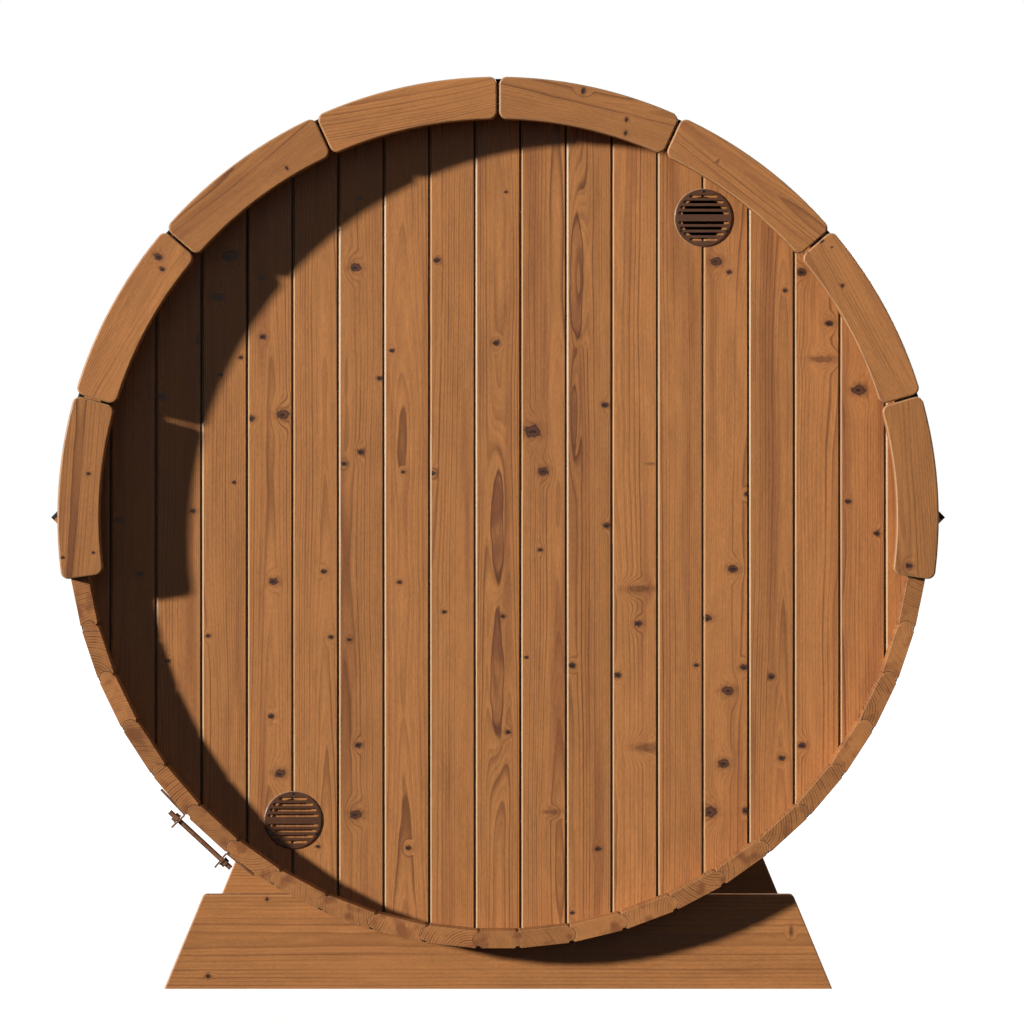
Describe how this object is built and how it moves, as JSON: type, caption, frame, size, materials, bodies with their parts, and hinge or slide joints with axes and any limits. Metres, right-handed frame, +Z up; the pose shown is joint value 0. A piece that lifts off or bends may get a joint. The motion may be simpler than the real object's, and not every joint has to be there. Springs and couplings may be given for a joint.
{
  "type": "barrel sauna",
  "caption": "Lying barrel sauna of bead-and-cove staves on cradles, with recessed boarded end walls, a curved fascia round the upper ends, round vent covers and a fixed boarded door.",
  "frame": {"origin": "on the ground under the middle of the barrel", "axes": "+Z up, barrel axis along Y, vented end wall faces -Y, door end faces +Y, +X to the right seen from the vented end"},
  "size_m": [2.054, 2.3866, 2.1033],
  "materials": {
    "stave_wood": "planed heat-treated softwood, oiled",
    "fascia_wood": "planed heat-treated softwood, oiled",
    "cradle_wood": "planed heat-treated softwood, oiled",
    "wall_wood": "planed heat-treated softwood boards, oiled",
    "batten_wood": "planed heat-treated softwood",
    "door_wood": "planed heat-treated softwood boards, oiled",
    "door_frame_wood": "planed heat-treated softwood, oiled",
    "vent_cover_brown": "moulded, satin brown",
    "roofing_felt": "mineral-coated roofing felt, dark",
    "band_steel": "dull strip steel",
    "tensioner_steel": "dull plated steel",
    "hinge_steel": "satin black"
  },
  "bodies": {
    "root": {"band_far": "band_steel", "band_middle": "band_steel", "band_near": "band_steel", "bottom_staves_left": "stave_wood", "bottom_staves_right": "stave_wood", "cradle_far": "cradle_wood", "cradle_near": "cradle_wood", "crown_stave": "stave_wood", "door_frame": "door_frame_wood", "door_hinges": "hinge_steel", "door_leaf": "door_wood", "door_pull": "door_wood", "door_wall_left": "wall_wood", "door_wall_over": "wall_wood", "door_wall_right": "wall_wood", "door_wall_under": "wall_wood", "fascia_far_left": "fascia_wood", "fascia_far_right": "fascia_wood", "fascia_near_left": "fascia_wood", "fascia_near_right": "fascia_wood", "flank_staves_left": "stave_wood", "flank_staves_right": "stave_wood", "keel_stave": "stave_wood", "roof_batten_left": "batten_wood", "roof_batten_right": "batten_wood", "roof_covering": "roofing_felt", "roof_edge_left": "roofing_felt", "roof_edge_right": "roofing_felt", "roof_staves_left": "stave_wood", "roof_staves_right": "stave_wood", "shoulder_staves_left": "stave_wood", "shoulder_staves_right": "stave_wood", "tensioner_far": "tensioner_steel", "tensioner_middle": "tensioner_steel", "tensioner_near": "tensioner_steel", "vent_cover_lower": "vent_cover_brown", "vent_cover_upper": "vent_cover_brown", "vent_damper_lower": "wall_wood", "vent_wall": "wall_wood"}
  },
  "joints": []
}
